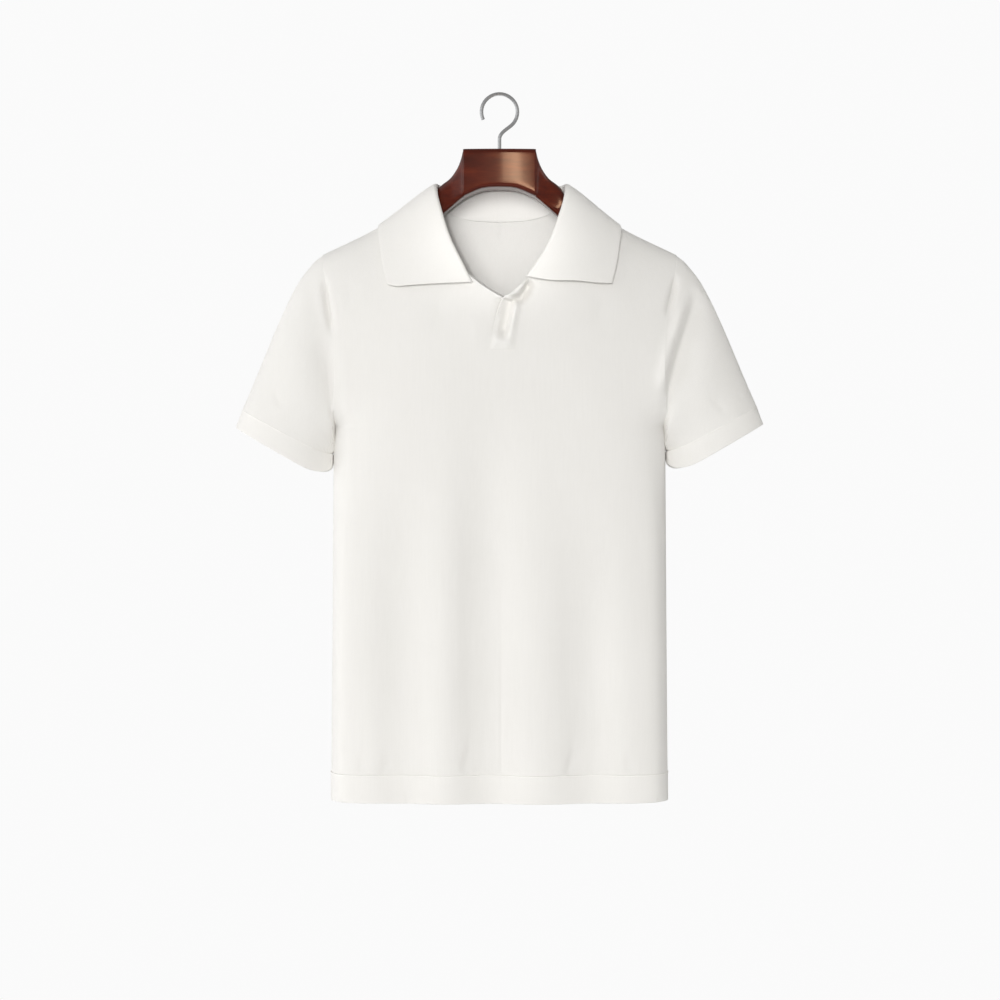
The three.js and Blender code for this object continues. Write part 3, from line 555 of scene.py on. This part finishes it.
# the lift of the lowest inner corner: its size, place and spread
LIFT, LIFT_OUT, LIFT_WIDTH, LIFT_HEIGHT, LIFT_RISE = 9, 187, 10, 386, 12
for node, touch in TOUCH.items():
    for vertex in pieces[node].data.vertices:
        out, back, height = in_mm(vertex.co)
        pull = PULL * eased((PULL_FROM - height) / PULL_GROWTH) * bell(abs(out) - touch, PULL_WIDTH)
        more = MORE * eased((MORE_FROM - height) / MORE_GROWTH)
        more *= bell(abs(out) - touch - MORE_OUT, MORE_WIDTH) * eased((abs(back) - SEAM_HALF) / SEAM_GROWTH)
        vertex.co.x -= math.copysign((pull + more) / 1000, vertex.co.x)
        lift = LIFT * bell(abs(vertex.co.x) * 1000 - LIFT_OUT, LIFT_WIDTH)
        vertex.co.z += lift * bell(height - LIFT_HEIGHT, LIFT_RISE) / 1000

for obj in pieces.values():
    for vertex in obj.data.vertices:
        vertex.co += drape_at(vertex.co)
print("draped", len(pieces), "pieces")

# %% [markdown]
# The left edge of the neck slit is turned in. A bit of cloth is pulled back out of the rim in two
# steps, first round the edge and then inwards, and it lies in the shade of its own roll.
# The strip on the slit is knitted on, so its side and its foot don't end in a step. Near them the strip
# sinks into the panel that carries it.

# %% The slit's edge and strip
# the rim that is turned in, out from the middle and above the hem in mm, and its two steps in metres
SLIT_OUT, SLIT_HEIGHT = (-38, 1.5), (575, 610)
ROLL_STEPS = ((0.0012, 0.0025, 0), (0.0028, 0.006, 0.0008))
# the roll starts at this height and is whole this many mm below
ROLL_TOP, ROLL_GROWTH = 611, 14
# the height of the strip's foot and the place of its side in mm, and how the strip sinks there in metres
STRIP_FOOT, STRIP_SIDE = 556, 20
SINK, SINK_REACH = 0.0019, 0.007

panel = bmesh.new()
panel.from_mesh(pieces["front_panel"].data)
slit = []
for edge in panel.edges:
    out, _, height = in_mm((edge.verts[0].co + edge.verts[1].co) / 2)
    at_slit = SLIT_OUT[0] < out < SLIT_OUT[1] and SLIT_HEIGHT[0] < height < SLIT_HEIGHT[1]
    if edge.is_boundary and at_slit:
        slit.append(edge)
for shift in ROLL_STEPS:
    pulled = bmesh.ops.extrude_edge_only(panel, edges=slit)["geom"]
    for part in pulled:
        if isinstance(part, bmesh.types.BMVert):
            part.co += Vector(shift) * eased((ROLL_TOP - in_mm(part.co)[2]) / ROLL_GROWTH)
    slit = [part for part in pulled if isinstance(part, bmesh.types.BMEdge)]
print("edges turned in", len(slit))
panel.to_mesh(pieces["front_panel"].data)
panel.free()

strip_sheet = bmesh.new()
strip_sheet.from_mesh(pieces["placket"].data)
rim = []
for vertex in strip_sheet.verts:
    out, _, height = in_mm(vertex.co)
    if vertex.is_boundary and (height < STRIP_FOOT or out > STRIP_SIDE):
        rim.append(vertex.co.copy())
for vertex in strip_sheet.verts:
    near = min((vertex.co - place).length for place in rim)
    vertex.co.y += SINK * (1 - eased(near / SINK_REACH))
strip_sheet.to_mesh(pieces["placket"].data)
strip_sheet.free()
print("strip sunk at", len(rim), "points of its rim")

# %% [markdown]
# The pieces are linked together, stitch by stitch, and from outside the linking is a fine cord of yarn.
# Its line is the rim of a sheet. A poly curve with a round bevel follows it, a little thicker and
# thinner by turns for the loops, and is then made a mesh. Along the hem and the cuffs it stands proud
# as a light ridge. In the armholes and at the sides it only fills the groove.

# %% Linked seams
# a loop's length, and the share of its thickness that is left where the next one starts
LOOP, THIN = 0.00135, 0.8
# a shorter line is a stray bit of rim
FEWEST_LOOPS = 6
# beyond any piece
ALL = 999
# a seam's piece, the part of its rim as a range out from the middle and a range above the hem, in mm,
# the seam's radius and how deep its middle lies, in metres
SEAMS = {
    "hem_seam_front": ("hem_front", (0, ALL), (29, ALL), 0.0009, 0.0002),
    "hem_seam_back": ("hem_back", (0, ALL), (29, ALL), 0.0009, 0.0002),
    "cuff_seam_right": ("sleeve_right", (200, ALL), (0, 500), 0.0008, 0.0002),
    "cuff_seam_left": ("sleeve_left", (200, ALL), (0, 500), 0.0008, 0.0002),
    "armhole_seam_right": ("sleeve_right", (0, 208), (400, ALL), 0.0009, 0.0008),
    "armhole_seam_left": ("sleeve_left", (0, 208), (400, ALL), 0.0009, 0.0008),
    "side_seams": ("front_panel", (170, ALL), (0, 425), 0.0008, 0.0007),
    "shoulder_seams": ("front_panel", (82, ALL), (634, ALL), 0.0008, 0.0006),
    "back_neck_seam": ("back_panel", (0, 80), (600, ALL), 0.0009, 0.0008),
}


def rim_lines(obj, out_range, height_range):
    """The part of a sheet's rim within two ranges, as lines of (place, normal)."""
    drawing = bmesh.new()
    drawing.from_mesh(obj.data)
    drawing.normal_update()
    left = {}
    for edge in drawing.edges:
        out, _, height = in_mm((edge.verts[0].co + edge.verts[1].co) / 2)
        out_fits = out_range[0] <= abs(out) <= out_range[1]
        height_fits = height_range[0] <= height <= height_range[1]
        if edge.is_boundary and out_fits and height_fits:
            left[edge] = None
    lines = []
    while left:
        ends = [v for e in left for v in e.verts if sum(other in left for other in v.link_edges) == 1]
        line = [ends[0] if ends else next(iter(left)).verts[0]]
        while True:
            step = next((e for e in line[-1].link_edges if e in left), None)
            if step is None:
                break
            left.pop(step)
            line.append(step.other_vert(line[-1]))
        lines.append([(v.co.copy(), v.normal.copy()) for v in line])
    drawing.free()
    return lines


def linked(name, node, out_range, height_range, thick, sink):
    """A seam along the rim of a piece. thick is its radius, sink how deep its middle lies."""
    cord = bpy.data.curves.new(name, "CURVE")
    cord.dimensions = "3D"
    cord.bevel_depth = thick
    cord.bevel_resolution = 1
    for line in rim_lines(pieces[node], out_range, height_range):
        places = []
        for (a, a_out), (b, b_out) in zip(line, line[1:]):
            steps = max(1, round((b - a).length / LOOP))
            for share in (k / steps for k in range(steps)):
                places.append(a.lerp(b, share) - a_out.lerp(b_out, share) * sink)
        if len(places) < FEWEST_LOOPS:
            continue
        spline = cord.splines.new("POLY")
        spline.points.add(len(places) - 1)
        for k, (point, place) in enumerate(zip(spline.points, places)):
            point.co = (*place, 1)
            point.radius = 1 if k % 2 else THIN
    line_object = bpy.data.objects.new(name + "_line", cord)
    bpy.context.collection.objects.link(line_object)
    evaluated = line_object.evaluated_get(bpy.context.evaluated_depsgraph_get())
    mesh = bpy.data.meshes.new_from_object(evaluated)
    bpy.data.objects.remove(line_object)
    seam = bpy.data.objects.new(name, mesh)
    bpy.context.collection.objects.link(seam)
    mesh.shade_smooth()
    print(name, "faces", len(mesh.polygons))
    return seam


seams = {name: linked(name, *facts) for name, facts in SEAMS.items()}

# %% [markdown]
# The knit follows the cloth, not the room, so every sheet carries a map of itself in metres: the
# columns of stitches run down it and the courses across it. The body's columns hang straight down, and
# where a panel turns at the side the map goes on round the corner. A sleeve's columns run along the arm.

# %% A map for the stitches
SLEEVE_WAY = Vector((0.42, 0, -0.91))
# this near to the middle plane a piece turns the corner, and by this share the map goes on there
CORNER, CORNER_SHARE = 0.05, 0.6


def knit_map(obj, along):
    """Writes the piece's place along the cloth, in metres, as its UV map."""
    layer = obj.data.uv_layers.new(name="cloth")
    down = along.normalized()
    level = Vector((-down.z, 0, down.x))
    for loop in obj.data.loops:
        point = obj.data.vertices[loop.vertex_index].co
        turn = math.copysign(CORNER_SHARE * max(0, CORNER - abs(point.y)), point.x)
        layer.data[loop.index].uv = (point.dot(level) + turn, -point.dot(down))


for node, obj in pieces.items():
    if node.startswith(("sleeve", "cuff")):
        hand = 1 if node.endswith("right") else -1
        knit_map(obj, Vector((SLEEVE_WAY.x * hand, 0, SLEEVE_WAY.z)))
    else:
        knit_map(obj, Vector((0, 0, -1)))
print("maps written")

# %% [markdown]
# Now the sheet gets its wall back, inwards, so the outside stays where the drape put it. The rim of a
# knitted band is soft, so its corners are rounded with a small bevel. Between two pieces the rounded
# rims make the shallow groove of a linked seam.

# %% From a sheet to cloth
# edges sharper than this are a rim's, and they are rounded by this share of the wall
SHARP = math.radians(50)
ROUNDED = 0.3
for node, facts in CLOTH.items():
    obj = pieces[node]
    thick = obj.modifiers.new("wall", "SOLIDIFY")
    thick.thickness = facts["wall"]
    thick.offset = -1
    settled(obj)
    cloth = bmesh.new()
    cloth.from_mesh(obj.data)
    rim = [e for e in cloth.edges if len(e.link_faces) == 2 and e.calc_face_angle(0) > SHARP]
    bmesh.ops.bevel(
        cloth,
        geom=rim,
        affect="EDGES",
        offset=facts["wall"] * ROUNDED,
        segments=2,
        profile=0.5,
        material=-1,
        clamp_overlap=True,
    )
    cloth.to_mesh(obj.data)
    cloth.free()
    obj.data.shade_smooth()
    print(node, "faces", len(obj.data.polygons))

# %% [markdown]
# The knit itself is a jersey: columns of small V-shaped stitches, about seven to the centimetre. It is
# drawn with mathematics on the cloth's own map. Each column has two legs of yarn that lean together, and
# the courses climb with the legs, which makes the V. The height becomes a bump, and the hollows between
# the stitches get a trace of painted shade in their colour. A little sheen stands for the fine fuzz of
# cotton yarn. The bands and the collar are knitted a little tighter, and the linking yarn has only its
# twist.

# %% Knit
WALE, COURSE = 0.00135, 0.00105
STITCH_DEPTH, FUZZ_DEPTH, TWIST_DEPTH = 0.00035, 0.00012, 0.00015
PALE_YARN = (0.875, 0.862, 0.835)
COTTON = {"Sheen_Weight": 0.18, "Sheen_Roughness": 0.45, "Specular_IOR_Level": 0.2}
BANDS = ("hem_front", "hem_back", "cuff_right", "cuff_left", "collar", "placket")


def knit_finish(name, deep, wale, course, strength):
    """A cream jersey. deep is the yarn's darker colour, strength that of the stitches' relief."""
    made, tree, yarn = new_finish(name, **COTTON)

    def maths(operation, a, b=None):
        """A Math node on sockets or numbers."""
        node = tree.nodes.new("ShaderNodeMath")
        node.operation = operation
        for socket, value in zip(node.inputs, (a, b)):
            if isinstance(value, (int, float)):
                socket.default_value = value
            elif value is not None:
                tree.links.new(value, socket)
        return node.outputs[0]

    place = join(tree, "ShaderNodeUVMap", uv_map="cloth").outputs["UV"]
    parts = join(tree, "ShaderNodeSeparateXYZ", [(0, place)])
    column = maths("DIVIDE", parts.outputs["X"], wale)
    row = maths("DIVIDE", parts.outputs["Y"], course)
    # 0 in the middle of a column and 1 at its border
    from_middle = maths("ABSOLUTE", maths("SUBTRACT", maths("FRACT", column), 0.5))
    lean = maths("MULTIPLY", from_middle, 2)
    # two legs of yarn in each column
    across_leg = maths("FRACT", maths("MULTIPLY", column, 2))
    leg = maths("SINE", maths("MULTIPLY", across_leg, math.pi))
    climb = maths("ADD", row, maths("MULTIPLY", lean, 0.8))
    loop = maths("ABSOLUTE", maths("SINE", maths("MULTIPLY", climb, math.pi)))
    height = maths("MULTIPLY", leg, maths("ADD", maths("MULTIPLY", loop, 0.6), 0.4))
    # slow change of shade, and fine slubs along the wales
    where = join(tree, "ShaderNodeTexCoord").outputs["Object"]
    slow = join(tree, "ShaderNodeTexNoise", [("Vector", where)], Scale=7.0, Detail=3.0).outputs[0]
    stretch = join(tree, "ShaderNodeMapping", [("Vector", where)], Scale=(520.0, 520.0, 26.0)).outputs[0]
    slub = join(tree, "ShaderNodeTexNoise", [("Vector", stretch)], Scale=1.0, Detail=2.0).outputs[0]
    blend = maths("ADD", maths("MULTIPLY", slow, 0.55), maths("MULTIPLY", slub, 0.45))
    shade = ramp(tree, blend, [(0.3, deep), (0.7, PALE_YARN)])
    # painted shade: the base colour is darkened in the hollows between the stitches, where shade would fall
    painted_stitch_shade = ramp(tree, height, [(0.0, (0.86, 0.855, 0.84)), (0.45, (1, 1, 1))])
    colour = join(tree, "ShaderNodeMix", data_type="RGBA", blend_type="MULTIPLY")
    colour.inputs["Factor"].default_value = 1.0
    tree.links.new(shade.outputs["Color"], colour.inputs["A"])
    tree.links.new(painted_stitch_shade.outputs["Color"], colour.inputs["B"])
    tree.links.new(colour.outputs["Result"], yarn.inputs["Base Color"])
    rough = join(tree, "ShaderNodeMapRange", [("Value", slub)], To_Min=0.82, To_Max=0.95)
    tree.links.new(rough.outputs["Result"], yarn.inputs["Roughness"])
    stitches = join(tree, "ShaderNodeBump", [("Height", height)], Strength=strength, Distance=STITCH_DEPTH)
    fibres = join(tree, "ShaderNodeTexNoise", [("Vector", where)], Scale=2600.0, Detail=2.0)
    reliefs = [("Height", fibres.outputs[0]), ("Normal", stitches.outputs[0])]
    fuzz = join(tree, "ShaderNodeBump", reliefs, Strength=0.25, Distance=FUZZ_DEPTH)
    tree.links.new(fuzz.outputs[0], yarn.inputs["Normal"])
    return made


linking, tree, thread = new_finish("linking_yarn", Roughness=0.85, **COTTON)
where = join(tree, "ShaderNodeTexCoord").outputs["Object"]
strands = join(tree, "ShaderNodeTexNoise", [("Vector", where)], Scale=1800.0, Detail=2.0)
tint = ramp(tree, strands.outputs[0], [(0.3, (0.84, 0.825, 0.79)), (0.7, (0.9, 0.89, 0.865))])
tree.links.new(tint.outputs["Color"], thread.inputs["Base Color"])
twist = join(tree, "ShaderNodeBump", [("Height", strands.outputs[0])], Strength=0.3, Distance=TWIST_DEPTH)
tree.links.new(twist.outputs[0], thread.inputs["Normal"])

cream_knit = knit_finish("cream_jersey", (0.845, 0.832, 0.803), WALE, COURSE, 0.5)
band_knit = knit_finish("cream_band", (0.855, 0.842, 0.812), WALE * 0.8, COURSE * 0.9, 0.4)
for node, obj in pieces.items():
    obj.data.materials.clear()
    obj.data.materials.append(band_knit if node in BANDS else cream_knit)
for seam in seams.values():
    seam.data.materials.clear()
    seam.data.materials.append(linking)
print("columns per cm", round(0.01 / WALE, 1), "courses per cm", round(0.01 / COURSE, 1))

# %% [markdown]
# The hanger is a broad arm of varnished red-brown wood. Its middle is a block with a slightly rounded
# face and two crisp arrises, beyond which the wood turns back and sweeps down into the shoulders. It is
# turned out of rings: one circle of points for each place along the arm, pressed to the squarish section
# that the wood has there, and then all the rings are bridged. More rings stand close to the arris, so
# that it stays crisp without being knife-sharp.

# %% Hanger
# out from the middle, top and bottom above the hem, reach to the front and to the back, squareness
HANGER = [
    (0, 755, 710, 23, 14, 8), (20, 755, 708.5, 22.4, 14, 8), (40.5, 755, 700, 20.6, 14, 8),
    (42.2, 753, 698.5, 20.1, 13.8, 7.5), (44.5, 744, 697, 18.4, 13.5, 7), (49, 733, 693.5, 16.2, 13, 6),
    (57, 722, 687, 13, 12.5, 4.5), (66, 715.4, 679.5, 11, 12, 3.2), (72, 710, 674, 10.5, 12, 2.6),
    (78, 700.7, 669, 10.5, 12, 2.3), (95, 689.5, 656, 11.5, 13, 2.2), (120, 674, 640, 14, 15, 2.2),
    (150, 655.8, 624, 16, 17, 2.2), (180, 640.6, 610, 16, 17, 2.2), (195, 631.8, 605, 14, 15, 2.2),
    (201, 622, 609, 8, 9, 2.0), (203.6, 617.5, 613.5, 2.2, 2.4, 2.0),
]
# steps from one row to the next, and points round each ring
BETWEEN, AROUND = 3, 64


def section_at(step):
    """The hanger's sizes at a step of its table, on a smooth curve through the rows."""
    k = min(int(step), len(HANGER) - 2)
    share = step - k
    rows = [HANGER[min(max(k + shift, 0), len(HANGER) - 1)] for shift in (-1, 0, 1, 2)]
    sizes = []
    for before, here, there, after in zip(*rows):
        low, high = min(here, there), max(here, there)
        bent = here + share * (there - before) / 2 + share**2 * (before - 2.5 * here + 2 * there - after / 2)
        bent += share**3 * (1.5 * (here - there) + (after - before) / 2)
        sizes.append(min(high, max(low, bent)))
    return sizes


def press(ring, hand, sizes):
    """Presses a circle of points to the hanger's section."""
    out, top, bottom, front, behind, square = sizes
    for point in ring:
        y = math.copysign(abs(point.co.y) ** (2 / square), point.co.y)
        z = math.copysign(abs(point.co.z) ** (2 / square), point.co.z)
        reach = behind if y > 0 else front
        height = bottom + (top - bottom) * (1 + z) / 2
        point.co = Vector((hand * out, reach * y, height)) / 1000 + Vector((0, 0, HEM))


hanger = bmesh.new()
steps = [k / BETWEEN for k in range((len(HANGER) - 1) * BETWEEN + 1)]
rings = []
for hand, step in [(-1, s) for s in reversed(steps[1:])] + [(1, s) for s in steps]:
    ring = bmesh.ops.create_circle(hanger, segments=AROUND, radius=1)["verts"]
    bmesh.ops.rotate(hanger, verts=ring, matrix=Matrix.Rotation(math.pi / 2, 3, "Y"))
    press(ring, hand, section_at(step))
    rings.append(ring)
for one, two in zip(rings, rings[1:]):
    near = dict.fromkeys(edge for point in one + two for edge in point.link_edges)
    bmesh.ops.bridge_loops(hanger, edges=[edge for edge in near if not edge.link_faces or edge.is_boundary])
for ring in (rings[0], rings[-1]):
    near = dict.fromkeys(edge for point in ring for edge in point.link_edges)
    bmesh.ops.contextual_create(hanger, geom=[edge for edge in near if edge.is_boundary])
bmesh.ops.recalc_face_normals(hanger, faces=hanger.faces)
wooden_arm = new_object("hanger_arm", hanger)
wooden_arm.data.shade_smooth()
print("hanger faces", len(wooden_arm.data.polygons))

# %% [markdown]
# The wood is dark and red under a clear varnish. Long streaks of grain run with the arm, finer pores lie
# in them, and the varnish is a smooth coat that mirrors the warm strip and the bright band of the room.

# %% Wood
WOOD_TONES = [
    (0.3, (0.042, 0.0045, 0.001)),
    (0.5, (0.068, 0.007, 0.0014)),
    (0.72, (0.104, 0.013, 0.0022)),
]
wood, tree, varnish = new_finish(
    "varnished_wood",
    Roughness=0.3,
    Specular_IOR_Level=0.08,
    Coat_Weight=0.58,
    Coat_Roughness=0.16,
)
where = join(tree, "ShaderNodeTexCoord").outputs["Object"]
along = join(tree, "ShaderNodeMapping", [("Vector", where)], Scale=(9.0, 60.0, 60.0)).outputs[0]
grain = join(tree, "ShaderNodeTexNoise", [("Vector", along)], Scale=1.6, Detail=6.0, Roughness=0.65)
fine = join(tree, "ShaderNodeMapping", [("Vector", where)], Scale=(120.0, 1400.0, 1400.0)).outputs[0]
pores = join(tree, "ShaderNodeTexNoise", [("Vector", fine)], Scale=1.0, Detail=2.0)
tone = ramp(tree, grain.outputs[0], WOOD_TONES)
tree.links.new(tone.outputs["Color"], varnish.inputs["Base Color"])
dent = join(tree, "ShaderNodeBump", [("Height", pores.outputs[0])], Strength=0.1, Distance=0.0001)
tree.links.new(dent.outputs[0], varnish.inputs["Normal"])
wooden_arm.data.materials.append(wood)
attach(wooden_arm, "root")
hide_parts("hanger_wood")
print("wood finished")

# %% [markdown]
# The hook is bright plated wire, drawn smooth. Only its gloss changes a little along the wire.

# %% Wire
steel, tree, metal = new_finish("bright_wire", Metallic=1)
where = join(tree, "ShaderNodeTexCoord").outputs["Object"]
marks = join(tree, "ShaderNodeTexNoise", [("Vector", where)], Scale=900.0, Detail=3.0).outputs[0]
shine = join(tree, "ShaderNodeMapRange", [("Value", marks)], To_Min=0.12, To_Max=0.3)
tree.links.new(shine.outputs["Result"], metal.inputs["Roughness"])
plate = ramp(tree, marks, [(0.3, (0.62, 0.63, 0.64)), (0.7, (0.72, 0.73, 0.74))])
tree.links.new(plate.outputs["Color"], metal.inputs["Base Color"])
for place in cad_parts["hanger_hook"].material_slots:
    place.material = steel
print("wire finished")

# %% [markdown]
# Last, every cloth piece and the seams on it are tied to the root, and the plain piece each stands for is
# hidden.

# %% Ties
for node, obj in pieces.items():
    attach(obj, "root")
    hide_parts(node)
    obj.data.update()
    on_it = [seams[name] for name, facts in SEAMS.items() if facts[0] == node]
    for seam in on_it:
        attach(seam, "root")
